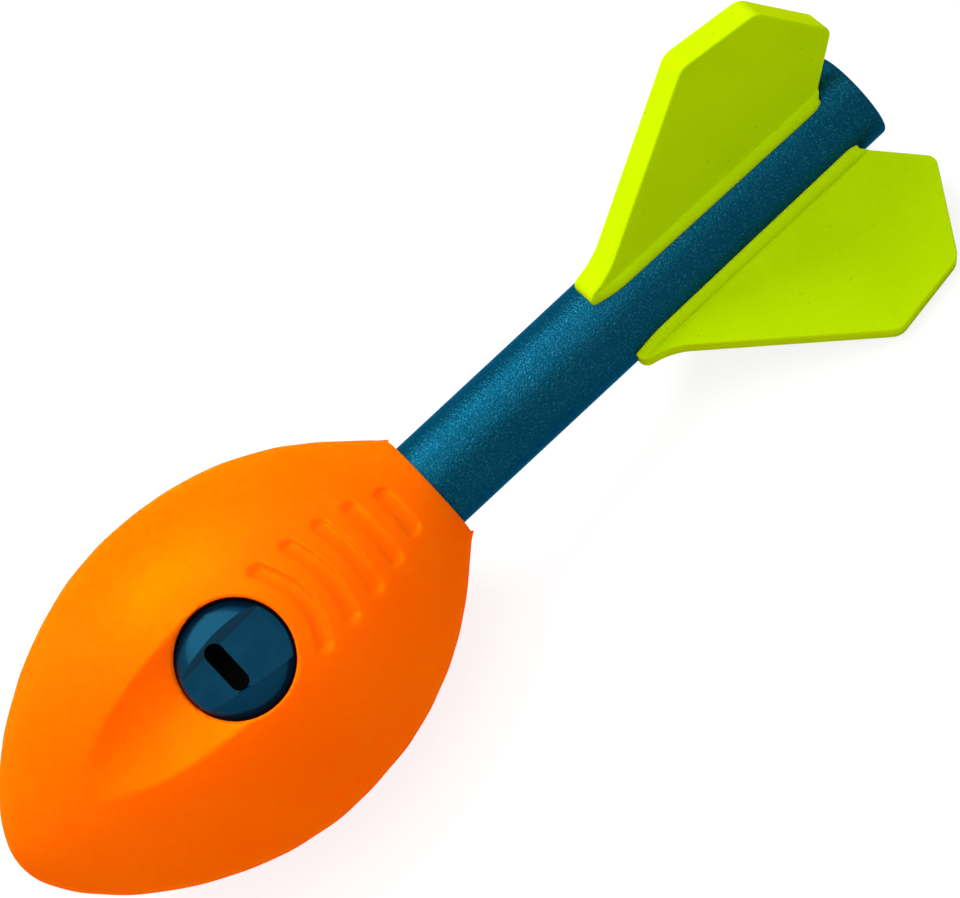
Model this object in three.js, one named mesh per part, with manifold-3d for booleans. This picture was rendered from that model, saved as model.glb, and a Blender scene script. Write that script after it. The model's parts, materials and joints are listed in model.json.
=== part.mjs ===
// A foam throwing dart: a moulded foam head with two built-in whistles,
// a stiff hollow tail tube and three foam fins glued on the tube.
// Sizes are in millimetres. The toy is built along +X with its nose tip at zero,
// and is then laid down as it rests: on the head's belly and the two lower fin tips.
import * as THREE from "three";
import { mergeVertices } from "three/addons/utils/BufferGeometryUtils.js";
import Module from "manifold-3d";

const wasm = await Module();
wasm.setup();

// Clearances
const fitGap = 0.3;
const pocketClearance = 0.5;
const cutOverrun = 2;
const weldDistance = 0.0005;

// Foam head, by stations counted from the nose tip
const headLength = 156;
const bellyStation = 79.5;
const bellyRadius = 51;
const noseHandle = 20;
const bellyFrontHandle = 38;
const bellyRearHandle = 38;
const headEndRadius = 17;
const headEndHandleRun = 18;
const headEndHandleRise = 18;

// Tail tube
const toyLength = 320;
const tubeRadius = 14.2;
const tubeWall = 2;
const tubeInsertion = 49;
const tubeEdgeRadius = 1.2;

// Anchor that closes the tube's front end and holds it in the foam
const anchorFlangeRadius = 19;
const anchorFlangeThickness = 3;
const anchorSpigotLength = 14;

// Plug that closes the tube's tail end
const plugLength = 12;
const plugFloor = 2.5;
const plugWall = 2;
const plugRecess = 0.8;

// Whistles: a domed cap over a resonance cup, one on either side of the head
const whistleSetback = 4.5;
const whistleTurnDegrees = 39.6;
const capSeatSink = 7.6;
const capRadius = 16.3;
const capRimHeight = 2.4;
const capDomeRise = 2.3;
const capSpigotWall = 1.2;
const capSpigotDepth = 2.5;
const channelDepth = 3;
const channelFloorHalfWidth = 8;
const channelTaperShare = 0.25;
const channelTurnDegrees = 3;
const channelWallLeanShare = 0.7;
const slotLength = 15.4;
const slotWidth = 5.6;
const slotSetForward = 3.1;
const cupDepth = 24;
const cupRadius = 14.6;
const cupWall = 1.4;
const cupFlangeThickness = 1.5;

// Air scoop in the foam ahead of each whistle
const scoopReach = 54;
const scoopTailReach = 13;
const scoopHalfWidth = 23.5;
const scoopDepth = 6.2;
const scoopTaperPower = 0.73;
const scoopFloorPower = 0.35;

// Finger grooves in the foam behind each whistle, as many as fit before the head's end
const grooveStart = 24.6;
const groovePitch = 8.9;
const grooveEndMargin = 9;
const grooveHalfAngleDegrees = 16;
const grooveLastReachShare = 0.78;
const grooveShorteningPower = 4;
const grooveSectionRadius = 2.9;
const grooveDepth = 1.3;
const grooveBend = 4.2;
const grooveBendFadeShare = 0.53;

// Fins: outline by distance ahead of the tube's tail end and by height over the tube's skin
const finNames = ["fin_top", "fin_left", "fin_right"];
const finThickness = 9;
const finFootSetback = 96.5;
const finToeHeight = 2.6;
const finAnkleSetback = 88;
const finAnkleHeight = 4.4;
const finShoulderSetback = 38.3;
const finShoulderHeight = 45.8;
const finCrownSetback = 12.4;
const finCrownHeight = 41.8;
const finHeelOverhang = 3.5;
const finHeelHeight = 16.2;
const finRootSetback = 10.5;
const finCornerRadius = 2.4;
const finFootFlare = 0.9;
const finFootRise = 1.6;

// How finely round stretches are divided
const headSides = 48;
const headFrontSteps = 12;
const headRearSteps = 10;
const tubeSides = 40;
const whistleSides = 36;
const domeSteps = 4;
const scoopSides = 22;
const scoopRings = 12;
const grooveSteps = 8;
const grooveSides = 4;
const cornerSteps = 3;
const fullTurn = 2 * Math.PI;
const quarterTurn = Math.PI / 2;

// Worked out from the driving sizes
const headOutline = makeHeadOutline();
const tubeBore = tubeRadius - tubeWall;
const tubeFrontStation = headLength - tubeInsertion;
const whistleStation = bellyStation + whistleSetback;
const capSeatHeight = bellyRadius - capSeatSink;
const finFootStation = toyLength - finFootSetback;
const finHeelStation = toyLength + finHeelOverhang;
const capCrownHeight = capRimHeight + capDomeRise;
const cupBore = cupRadius - cupWall;
const cupTopHeight = capSeatHeight - fitGap;
const whistleTurns = [
  THREE.MathUtils.degToRad(whistleTurnDegrees),
  THREE.MathUtils.degToRad(whistleTurnDegrees) + Math.PI,
];

const foamOrange = { color: "#fb7106", roughness: 0.62, metalness: 0 };
const foamLime = { color: "#b4dc04", roughness: 0.7, metalness: 0 };
const tubeBlue = { color: "#0b4a66", roughness: 0.45, metalness: 0 };
const whistleBlue = { color: "#0a3a5c", roughness: 0.3, metalness: 0 };
const innerGrey = { color: "#3a3f45", roughness: 0.5, metalness: 0 };

// Closed solids: geometry to solid and back

function signedVolume(points, corners) {
  const a = new THREE.Vector3();
  const b = new THREE.Vector3();
  const c = new THREE.Vector3();
  let sum = 0;
  for (let i = 0; i < corners.length; i += 3) {
    a.fromArray(points, 3 * corners[i]);
    b.fromArray(points, 3 * corners[i + 1]);
    c.fromArray(points, 3 * corners[i + 2]);
    sum += a.dot(b.cross(c));
  }
  return sum;
}

function solidFrom(geometry) {
  const bare = geometry.clone();
  bare.deleteAttribute("normal");
  bare.deleteAttribute("uv");
  const welded = mergeVertices(bare, weldDistance);
  const points = Float32Array.from(welded.getAttribute("position").array);
  const corners = [];
  for (let i = 0; i < welded.index.count; i += 3) {
    const [a, b, c] = [0, 1, 2].map((step) => welded.index.getX(i + step));
    if (a !== b && b !== c && c !== a) {
      corners.push(a, b, c);
    }
  }
  if (signedVolume(points, corners) < 0) {
    corners.reverse();
  }
  const triVerts = Uint32Array.from(corners);
  return new wasm.Manifold(new wasm.Mesh({ numProp: 3, vertProperties: points, triVerts }));
}

function geometryFrom(solid) {
  const mesh = solid.getMesh();
  const geometry = new THREE.BufferGeometry();
  geometry.setAttribute("position", new THREE.BufferAttribute(mesh.vertProperties, 3));
  geometry.setIndex(new THREE.BufferAttribute(mesh.triVerts, 1));
  geometry.computeVertexNormals();
  return geometry;
}

function piece(name, solid, finish) {
  const mesh = new THREE.Mesh(geometryFrom(solid), new THREE.MeshStandardMaterial(finish));
  mesh.name = name;
  return mesh;
}

// Round bodies: along the toy's axis, and along a whistle's axis

function turnedAlongX(outline, sides) {
  const points = outline.map(([station, radius]) => new THREE.Vector2(radius, station));
  return new THREE.LatheGeometry(points, sides).rotateZ(-quarterTurn);
}

function turnedAlongZ(outline, sides) {
  const points = outline.map(([radius, height]) => new THREE.Vector2(radius, height));
  return new THREE.LatheGeometry(points, sides).rotateX(quarterTurn);
}

function rodAlongX(from, to, radius) {
  return turnedAlongX([[from, 0], [from, radius], [to, radius], [to, 0]], tubeSides);
}

// The head's outline: a blunt nose, the belly, and a taper to the ring at the tube

function makeHeadOutline() {
  const front = new THREE.CubicBezierCurve(
    new THREE.Vector2(0, 0),
    new THREE.Vector2(0, noseHandle),
    new THREE.Vector2(bellyStation - bellyFrontHandle, bellyRadius),
    new THREE.Vector2(bellyStation, bellyRadius),
  );
  const rear = new THREE.CubicBezierCurve(
    new THREE.Vector2(bellyStation, bellyRadius),
    new THREE.Vector2(bellyStation + bellyRearHandle, bellyRadius),
    new THREE.Vector2(headLength - headEndHandleRun, headEndRadius + headEndHandleRise),
    new THREE.Vector2(headLength, headEndRadius),
  );
  return [...front.getPoints(headFrontSteps), ...rear.getPoints(headRearSteps).slice(1)];
}

function headRadiusAt(station) {
  const next = headOutline.findIndex((point) => point.x > station);
  const [a, b] = [headOutline[next - 1], headOutline[next]];
  return THREE.MathUtils.mapLinear(station, a.x, b.x, a.y, b.y);
}

// A cutter made in a whistle's own frame goes to its side of the head
function toHeadSide(geometry, turn) {
  return geometry.clone().rotateX(turn);
}

// A ball drawn out to a long bowl: a parabola across, narrowing to a tip along the head
function scoopCutter() {
  const bowl = new THREE.SphereGeometry(1, scoopSides, scoopRings);
  const places = bowl.getAttribute("position");
  for (let i = 0; i < places.count; i += 1) {
    const along = places.getX(i);
    const reach = along < 0 ? scoopReach : scoopTailReach;
    const station = whistleStation + reach * along;
    const room = Math.max(1 - along ** 2, 0);
    const across = room > 0 ? places.getY(i) / Math.sqrt(room) : 0;
    const side = Math.sign(places.getZ(i)) * Math.max(1 - across ** 2, 0);
    const height = headRadiusAt(station) + scoopDepth * room ** scoopFloorPower * side;
    places.setXYZ(i, station, scoopHalfWidth * room ** scoopTaperPower * across, height);
  }
  return bowl;
}

function pocketCutter() {
  const mouth = bellyRadius + cutOverrun;
  const step = cupTopHeight - cupFlangeThickness - fitGap;
  const floor = cupTopHeight - cupDepth - fitGap;
  const outline = [
    [0, floor],
    [cupRadius + fitGap, floor],
    [cupRadius + fitGap, step],
    [capRadius + pocketClearance, step],
    [capRadius + pocketClearance, mouth],
    [0, mouth],
  ];
  return turnedAlongZ(outline, whistleSides).translate(whistleStation, 0, 0);
}

function grooveCutters() {
  const room = headLength - grooveEndMargin - whistleStation - grooveStart;
  const last = Math.floor(room / groovePitch);
  const cutters = [];
  for (let number = 0; number <= last; number += 1) {
    cutters.push(...grooveCutter(number, last));
  }
  return cutters;
}

// One groove is a round rod bent over the foam, sunk to the groove's depth
function grooveCutter(number, last) {
  const middle = whistleStation + grooveStart + number * groovePitch;
  const bend = grooveBend * grooveBendFadeShare ** number;
  const order = (number / Math.max(last, 1)) ** grooveShorteningPower;
  const reachShare = 1 - (1 - grooveLastReachShare) * order;
  const reach = THREE.MathUtils.degToRad(grooveHalfAngleDegrees * reachShare);
  const lift = grooveSectionRadius - grooveDepth;
  const route = [];
  for (let i = 0; i <= grooveSteps; i += 1) {
    const share = (2 * i) / grooveSteps - 1;
    const station = middle - bend * share ** 2;
    const radius = headRadiusAt(station) + lift;
    const angle = reach * share;
    route.push(new THREE.Vector3(station, radius * Math.sin(angle), radius * Math.cos(angle)));
  }
  const section = new THREE.Shape().absarc(0, 0, grooveSectionRadius, 0, fullTurn);
  const rod = new THREE.ExtrudeGeometry(section, {
    steps: grooveSteps,
    curveSegments: grooveSides,
    extrudePath: new THREE.CatmullRomCurve3(route),
  });
  const ends = [route[0], route[grooveSteps]].map((end) =>
    new THREE.SphereGeometry(grooveSectionRadius, 2 * grooveSides, grooveSides)
      .translate(end.x, end.y, end.z));
  return [rod, ...ends];
}

function headSolid() {
  const outline = [...headOutline.map((point) => [point.x, point.y]), [headLength, 0]];
  let head = solidFrom(turnedAlongX(outline, headSides));
  const flangeFront = tubeFrontStation - fitGap - anchorFlangeThickness - fitGap;
  const cutters = [
    rodAlongX(tubeFrontStation, headLength + cutOverrun, tubeRadius + fitGap),
    rodAlongX(flangeFront, tubeFrontStation, anchorFlangeRadius + fitGap),
  ];
  for (const turn of whistleTurns) {
    cutters.push(toHeadSide(scoopCutter(), turn));
    cutters.push(toHeadSide(pocketCutter(), turn));
    cutters.push(...grooveCutters().map((cutter) => toHeadSide(cutter, turn)));
  }
  for (const cutter of cutters) {
    head = head.subtract(solidFrom(cutter));
  }
  return head;
}

// Tail tube with its anchor and its end plug

function roundedEdge(station, radius) {
  const points = [];
  for (let i = 0; i <= cornerSteps; i += 1) {
    const angle = (quarterTurn * i) / cornerSteps;
    points.push([
      station - tubeEdgeRadius + tubeEdgeRadius * Math.cos(angle),
      radius - tubeEdgeRadius + tubeEdgeRadius * Math.sin(angle),
    ]);
  }
  return points;
}

function tubeSolid() {
  const outline = [
    [tubeFrontStation, tubeBore],
    [toyLength, tubeBore],
    ...roundedEdge(toyLength, tubeRadius),
    [tubeFrontStation, tubeRadius],
    [tubeFrontStation, tubeBore],
  ];
  return solidFrom(turnedAlongX(outline, tubeSides));
}

function anchorSolid() {
  const flangeRear = tubeFrontStation - fitGap;
  const flangeFront = flangeRear - anchorFlangeThickness;
  const outline = [
    [flangeFront, 0],
    [flangeFront, anchorFlangeRadius],
    [flangeRear, anchorFlangeRadius],
    [flangeRear, tubeBore - fitGap],
    [tubeFrontStation + anchorSpigotLength, tubeBore - fitGap],
    [tubeFrontStation + anchorSpigotLength, 0],
  ];
  return solidFrom(turnedAlongX(outline, tubeSides));
}

function plugSolid() {
  const face = toyLength - plugRecess;
  const radius = tubeBore - fitGap;
  const outline = [
    [face, 0],
    [face, radius],
    [face - plugLength, radius],
    [face - plugLength, radius - plugWall],
    [face - plugFloor, radius - plugWall],
    [face - plugFloor, 0],
  ];
  return solidFrom(turnedAlongX(outline, tubeSides));
}

// Whistle pieces, made upright with the cap's seat at zero height

function domeOutline() {
  const curve = (capRadius ** 2 + capDomeRise ** 2) / (2 * capDomeRise);
  const points = [];
  for (let i = 0; i <= domeSteps; i += 1) {
    const radius = capRadius * (1 - i / domeSteps);
    const sag = curve - Math.sqrt(curve ** 2 - radius ** 2);
    points.push([radius, capCrownHeight - sag]);
  }
  return points;
}

// The flat-floored air channel across the dome widens towards the tail and runs a little askew
function channelCutter() {
  const floor = capCrownHeight - channelDepth;
  const top = capCrownHeight + cutOverrun;
  const topHalfWidth = channelFloorHalfWidth + channelWallLeanShare * (top - floor);
  const section = new THREE.Shape([
    new THREE.Vector2(-channelFloorHalfWidth, floor),
    new THREE.Vector2(channelFloorHalfWidth, floor),
    new THREE.Vector2(topHalfWidth, top),
    new THREE.Vector2(-topHalfWidth, top),
  ]);
  const reach = capRadius + cutOverrun;
  const channel = new THREE.ExtrudeGeometry(section, { depth: 2 * reach, bevelEnabled: false });
  channel.translate(0, 0, -reach).rotateX(quarterTurn).rotateZ(quarterTurn);
  const places = channel.getAttribute("position");
  for (let i = 0; i < places.count; i += 1) {
    const spread = 1 + (channelTaperShare * places.getX(i)) / capRadius;
    places.setY(i, places.getY(i) * spread);
  }
  return channel.rotateZ(-THREE.MathUtils.degToRad(channelTurnDegrees));
}

function slotCutter() {
  const radius = slotWidth / 2;
  const reach = slotLength / 2 - radius;
  const outline = new THREE.Shape()
    .absarc(0, reach, radius, 0, Math.PI)
    .absarc(0, -reach, radius, Math.PI, fullTurn);
  const slot = new THREE.ExtrudeGeometry(outline, {
    depth: capCrownHeight + 2 * cutOverrun,
    bevelEnabled: false,
    curveSegments: 2 * cornerSteps,
  });
  return slot.translate(-slotSetForward, 0, -cutOverrun);
}

function capSolid() {
  const spigotRadius = cupBore - fitGap;
  const outline = [
    [0, 0],
    [spigotRadius - capSpigotWall, 0],
    [spigotRadius - capSpigotWall, -capSpigotDepth],
    [spigotRadius, -capSpigotDepth],
    [spigotRadius, 0],
    [capRadius, 0],
    ...domeOutline(),
  ];
  return solidFrom(turnedAlongZ(outline, whistleSides))
    .subtract(solidFrom(channelCutter()))
    .subtract(solidFrom(slotCutter()));
}

function cupSolid() {
  const outline = [
    [0, -cupDepth],
    [cupRadius, -cupDepth],
    [cupRadius, -cupFlangeThickness],
    [capRadius, -cupFlangeThickness],
    [capRadius, 0],
    [cupBore, 0],
    [cupBore, -cupDepth + cupWall],
    [0, -cupDepth + cupWall],
  ];
  return solidFrom(turnedAlongZ(outline, whistleSides));
}

function whistle(side, turn) {
  const cap = piece(`whistle_cap_${side}`, capSolid(), whistleBlue);
  const cup = piece(`whistle_cup_${side}`, cupSolid(), innerGrey);
  cap.position.z = capSeatHeight;
  cup.position.z = cupTopHeight;
  const group = new THREE.Group().add(cap, cup);
  group.position.x = whistleStation;
  group.rotation.x = turn;
  return group;
}

// Fins, made standing straight up from the tube's axis

function roundedShape(corners) {
  const shape = new THREE.Shape();
  corners.forEach((corner, i) => {
    const before = corners[(i + corners.length - 1) % corners.length];
    const after = corners[(i + 1) % corners.length];
    const start = before.clone().sub(corner).setLength(finCornerRadius).add(corner);
    const end = after.clone().sub(corner).setLength(finCornerRadius).add(corner);
    if (i === 0) {
      shape.moveTo(start.x, start.y);
    } else {
      shape.lineTo(start.x, start.y);
    }
    shape.quadraticCurveTo(corner.x, corner.y, end.x, end.y);
  });
  return shape;
}

function finSlab(thickness) {
  const finRootStation = toyLength - finRootSetback;
  const shape = roundedShape([
    new THREE.Vector2(finFootStation, 0),
    new THREE.Vector2(finFootStation, tubeRadius + finToeHeight),
    new THREE.Vector2(toyLength - finAnkleSetback, tubeRadius + finAnkleHeight),
    new THREE.Vector2(toyLength - finShoulderSetback, tubeRadius + finShoulderHeight),
    new THREE.Vector2(toyLength - finCrownSetback, tubeRadius + finCrownHeight),
    new THREE.Vector2(finHeelStation, tubeRadius + finHeelHeight),
    new THREE.Vector2(finRootStation, tubeRadius),
    new THREE.Vector2(finRootStation, 0),
  ]);
  const slab = new THREE.ExtrudeGeometry(shape, {
    depth: thickness,
    bevelEnabled: false,
    curveSegments: cornerSteps,
  });
  return slab.translate(0, 0, -thickness / 2).rotateX(quarterTurn);
}

// The foot's section: as wide as the flare at the tube's skin, closing to the fin's faces
function finFootPrism() {
  const half = finThickness / 2;
  const wide = half + finFootFlare;
  const skin = Math.sqrt(tubeRadius ** 2 - wide ** 2);
  const top = tubeRadius + finFootRise;
  const section = new THREE.Shape([
    new THREE.Vector2(-wide, 0),
    new THREE.Vector2(wide, 0),
    new THREE.Vector2(wide, skin),
    new THREE.Vector2(half, top),
    new THREE.Vector2(-half, top),
    new THREE.Vector2(-wide, skin),
  ]);
  const run = finHeelStation - finFootStation;
  const prism = new THREE.ExtrudeGeometry(section, { depth: run, bevelEnabled: false });
  return prism.rotateX(quarterTurn).rotateZ(quarterTurn).translate(finFootStation, 0, 0);
}

function finSolid() {
  const foot = solidFrom(finFootPrism())
    .intersect(solidFrom(finSlab(finThickness + 2 * finFootFlare)));
  const skin = rodAlongX(0, finHeelStation + cutOverrun, tubeRadius + fitGap);
  return solidFrom(finSlab(finThickness)).add(foot).subtract(solidFrom(skin));
}

function fin(name, number) {
  const mesh = piece(name, finSolid(), foamLime);
  mesh.rotation.x = (fullTurn * number) / finNames.length;
  return mesh;
}

// How far the tail dips when the head's belly and the lower fins touch the ground

function placesOf(meshes) {
  const places = [];
  for (const mesh of meshes) {
    mesh.updateWorldMatrix(true, false);
    const points = mesh.geometry.getAttribute("position");
    for (let i = 0; i < points.count; i += 1) {
      places.push(new THREE.Vector3().fromBufferAttribute(points, i).applyMatrix4(mesh.matrixWorld));
    }
  }
  return places;
}

function lowest(places, tilt) {
  const heights = places.map((place) => place.z * Math.cos(tilt) - place.x * Math.sin(tilt));
  return Math.min(...heights);
}

function restingTilt(head, fins) {
  const headPlaces = placesOf([head]);
  const finPlaces = placesOf(fins);
  const halvings = 40;
  let level = 0;
  let steep = quarterTurn;
  for (let i = 0; i < halvings; i += 1) {
    const middle = (level + steep) / 2;
    if (lowest(headPlaces, middle) < lowest(finPlaces, middle)) {
      level = middle;
    } else {
      steep = middle;
    }
  }
  return level;
}

// The toy, put together and laid down

const head = piece("head_foam", headSolid(), foamOrange);
const fins = finNames.map(fin);
const toy = new THREE.Group().add(
  head,
  whistle("upper", whistleTurns[0]),
  whistle("lower", whistleTurns[1]),
  piece("tail_tube", tubeSolid(), tubeBlue),
  piece("tail_anchor", anchorSolid(), innerGrey),
  piece("tail_end_plug", plugSolid(), tubeBlue),
  ...fins,
);
toy.rotation.y = restingTilt(head, fins);

const throwingDart = new THREE.Group().add(toy);
const extent = new THREE.Box3().setFromObject(throwingDart, true);
const middle = extent.getCenter(new THREE.Vector3());
throwingDart.position.set(-middle.x, -middle.y, -extent.min.z);

export default throwingDart;
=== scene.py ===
import bisect
import json
import math

import bmesh
import bpy
from mathutils import Matrix, Vector, geometry, noise


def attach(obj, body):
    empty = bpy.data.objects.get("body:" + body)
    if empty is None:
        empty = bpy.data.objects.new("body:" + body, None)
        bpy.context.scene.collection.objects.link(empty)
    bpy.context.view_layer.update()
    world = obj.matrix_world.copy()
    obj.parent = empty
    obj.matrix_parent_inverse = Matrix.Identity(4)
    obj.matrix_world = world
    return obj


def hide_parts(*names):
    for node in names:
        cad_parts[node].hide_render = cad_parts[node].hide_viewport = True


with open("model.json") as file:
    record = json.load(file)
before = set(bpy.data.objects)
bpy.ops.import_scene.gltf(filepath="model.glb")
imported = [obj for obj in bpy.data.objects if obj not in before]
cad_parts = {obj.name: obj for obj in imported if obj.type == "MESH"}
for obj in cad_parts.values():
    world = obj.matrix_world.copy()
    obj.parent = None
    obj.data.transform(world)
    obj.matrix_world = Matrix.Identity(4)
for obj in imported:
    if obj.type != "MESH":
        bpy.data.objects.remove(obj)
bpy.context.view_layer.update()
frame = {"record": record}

MM = 0.001
WELD = 0.0005
FULL_TURN = 2 * math.pi
SHARP_ANGLE = math.radians(35)

# Foam head, by stations from the nose tip
HEAD_LENGTH = 156
BELLY_STATION = 79.5
BELLY_RADIUS = 51
NOSE_HANDLE = 20
BELLY_HANDLE = 38
HEAD_END_RADIUS = 17
HEAD_END_HANDLE_RUN = 18
HEAD_END_HANDLE_RISE = 18
HEAD_RIM_ROUND = 0.9
HEAD_RIM_STEPS = 4
HEAD_SHARP_ANGLE = math.radians(60)
HEAD_SIDES = 320
HEAD_FRONT_STEPS = 125
HEAD_REAR_STEPS = 150
SIDE_CROWDING_SHARE = 0.6

# Mould seam on the head, a quarter turn away from the whistles
SEAM_HEIGHT = 0.4
SEAM_EVEN_SHARE = 0.8
SEAM_UNEVEN_SHARE = 0.5
SEAM_UNEVEN_RUN = 9
SEAM_HALF_WIDTH = 0.4
SEAM_CREST_SHARE = 0.35
SEAM_ROOT = 0.5
SEAM_BURR = 0.45
SEAM_BURR_REACH = 3

# Tail tube, its anchor and its plug
TOY_LENGTH = 320
TUBE_RADIUS = 14.2
TUBE_BORE = 12.2
TUBE_FRONT = 107
TUBE_EDGE_ROUND = 1.2
TUBE_EDGE_STEPS = 6
TUBE_SIDES = 160
FIT_GAP = 0.3
FOAM_GRIP_GAP = 0.05
ANCHOR_FLANGE_RADIUS = 19
ANCHOR_FLANGE = 3
ANCHOR_SPIGOT = 14
PLUG_LENGTH = 12
PLUG_FLOOR = 2.5
PLUG_WALL = 2
PLUG_RECESS = 0.8
PLUG_EDGE_STEPS = 3
MOULDED_EDGE = 0.35
MOULDED_EDGE_STEPS = 2

# Whistles
WHISTLE_STATION = 84
WHISTLE_TURNS = [math.radians(39.6), math.radians(39.6 + 180)]
CAP_SEAT_HEIGHT = 43.4
CAP_RADIUS = 16.3
CAP_RIM_HEIGHT = 2.4
CAP_DOME_RISE = 2.3
CAP_RIM_DROP = 2.2
CAP_RIM_RUN = 3.6
CAP_RIM_POINTS = 9
CAP_DOME_STEPS = 14
CAP_SPIGOT_WALL = 1.2
CAP_SPIGOT_DEPTH = 2.5
CAP_EDGE_ROUND = 0.45
CAP_EDGE_STEPS = 3
CHANNEL_DEPTH = 3
CHANNEL_HALF_WIDTH = 9
CHANNEL_TAPER_SHARE = 0.25
CHANNEL_TURN = math.radians(3)
CHANNEL_FAR_LEAN_SHARE = 1
CHANNEL_NEAR_LEAN_SHARE = 0.4
SLOT_LENGTH = 15.4
SLOT_WIDTH = 5.6
SLOT_SET_FORWARD = 3.1
SLOT_SIDES = 32
CUP_DEPTH = 24
CUP_RADIUS = 14.6
CUP_BORE = 13.2
CUP_WALL = 1.4
CUP_FLANGE = 1.5
CAP_SIDES = 128
POCKET_CLEARANCE = 0.5
POCKET_RIM_ROUND = 0.9
CUT_OVERRUN = 2

# Air scoops ahead of the whistles and finger grooves behind them
SCOOP_REACH = 54
SCOOP_TAIL_REACH = 13
SCOOP_HALF_WIDTH = 16.1
SCOOP_TAPER_POWER = 0.56
SCOOP_SECTION_RADIUS = 26
SCOOP_TURN = math.radians(1.3)
SCOOP_EDGE_ROUND = 0.7
GROOVE_START = 24.6
GROOVE_PITCH = 8.9
GROOVE_HALF_ANGLE = math.radians(16)
GROOVE_REACH_SHARES = [1, 1, 1, 0.93, 0.78]
GROOVE_SECTION_RADIUS = 2.9
GROOVE_DEPTH = 1.5
GROOVE_BEND = 4.2
GROOVE_BEND_FADE_SHARE = 0.53
GROOVE_EDGE_ROUND = 0.2

# Fins: by distance ahead of the tube's tail end and by height over the tube's skin
FIN_THICKNESS = 9
FIN_FOOT_SETBACK = 96.5
FIN_TOE_HEIGHT = 2.6
FIN_TOE_ROUND = 2.4
FIN_ANKLE = (88, 4.4)
FIN_SHOULDER = (38.3, 45.8)
FIN_CROWN = (12.4, 41.8)
FIN_HEEL = (-3.5, 16.2)
FIN_ROOT_SETBACK = 10.5
FIN_CORNER_ROUND = 2.2
FIN_ANKLE_ROUND = 5
FIN_EDGE_ROUND = 0.6
FIN_CORNER_STEPS = 5
FIN_ANKLE_STEPS = 6
FIN_EDGE_STEPS = 3
FIN_SUNK = 5

# The bead along a fin's foot, under a crease, where the foam is glued to the tube
BEAD_WIDTH = 1.6
BEAD_TAIL_SHARE = 1.5
BEAD_RISE = 2
BEAD_RUN = 11
BEAD_END_RUN = 4
BEAD_STEPS = 8
BEAD_END_DROP_SHARE = 0.4
BEAD_FULLEST_SHARE = 0.8
BEAD_LEVEL_SHARES = [0, 0.05, 0.16, 0.34, 0.55, 0.75, 0.9]
CREASE_DIP = 0.25
CREASE_FADE = 1.2
CREASE_LEVEL_SHARES = [0.35, 1]
FIN_TURNS = {"fin_top": 0, "fin_left": FULL_TURN / 3, "fin_right": 2 * FULL_TURN / 3}

# Camera: its direction off the toy, its roll, and where it aims from the toy's middle
CAMERA_AZIMUTH = math.radians(-4.45)
CAMERA_ELEVATION = math.radians(48.49)
CAMERA_ROLL = math.radians(-39.6)
CAMERA_DISTANCE = 1200
CAMERA_AIM_RIGHT = 11.3
CAMERA_AIM_UP = 7.8
PHOTO_WIDTH_PX = 960
PHOTO_PX_PER_MM = 3.5479
SENSOR_WIDTH = 36
CAMERA_REACH_M = 20

# Studio, in metres: the floor that light bounces off, and the white paper seen in its place
FLOOR_HALF_SIDE_M = 3
LIT_FLOOR_GREY = (0.7, 0.7, 0.7, 1)
PAPER_GREY = (0.2, 0.2, 0.2, 1)
PAPER_GLOW = 0.86
WORLD_FILL = 0.25
WHITE = (1, 1, 1, 1)
LAMP_AIM_M = (-0.05, 0, 0.05)


# From the toy's frame to the row's, by the flat face on the tail plug

def toy_placing():
    mount = frame["record"]["mounts"][0]
    along = Vector(mount["axis"]).normalized()
    across = Vector((0, 1, 0))
    turn = Matrix((along, across, along.cross(across))).transposed().to_4x4()
    nose = Vector(mount["pos_m"]) - along * (TOY_LENGTH - PLUG_RECESS) * MM
    return Matrix.Translation(nose) @ turn @ Matrix.Scale(MM, 4)


TOY = toy_placing()


# Making and finishing meshes

def loose(name, form):
    """An object in the toy's own frame, from a bmesh."""
    mesh = bpy.data.meshes.new(name)
    form.to_mesh(mesh)
    form.free()
    piece = bpy.data.objects.new(name, mesh)
    bpy.context.scene.collection.objects.link(piece)
    return piece


def apply_modifiers(piece):
    bpy.context.view_layer.update()
    graph = bpy.context.evaluated_depsgraph_get()
    shaped = bpy.data.meshes.new_from_object(piece.evaluated_get(graph))
    piece.modifiers.clear()
    old = piece.data
    piece.data = shaped
    bpy.data.meshes.remove(old)


def cut(piece, forms):
    cutters = [loose("cutter", form) for form in forms]
    for cutter in cutters:
        tool = piece.modifiers.new("cut", "BOOLEAN")
        tool.operation = "DIFFERENCE"
        tool.solver = "EXACT"
        tool.object = cutter
    apply_modifiers(piece)
    for cutter in cutters:
        bpy.data.objects.remove(cutter)


def round_edges(piece, width, segments):
    tool = piece.modifiers.new("edges", "BEVEL")
    tool.width = width
    tool.segments = segments
    tool.limit_method = "ANGLE"
    tool.angle_limit = SHARP_ANGLE
    tool.use_clamp_overlap = True
    apply_modifiers(piece)


def settle(piece, finish, node, place=Matrix(), sharp=SHARP_ANGLE, even_flats=False):
    """Puts a finished piece in the row's frame, in place of the CAD node it stands for."""
    piece.data.shade_smooth()
    piece.data.set_sharp_from_angle(angle=sharp)
    if even_flats:
        tool = piece.modifiers.new("even_flats", "WEIGHTED_NORMAL")
        tool.keep_sharp = True
        apply_modifiers(piece)
    piece.data.transform(TOY @ place)
    piece.data.materials.clear()
    piece.data.materials.append(finish)
    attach(piece, "root")
    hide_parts(node)
    return piece


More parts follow.
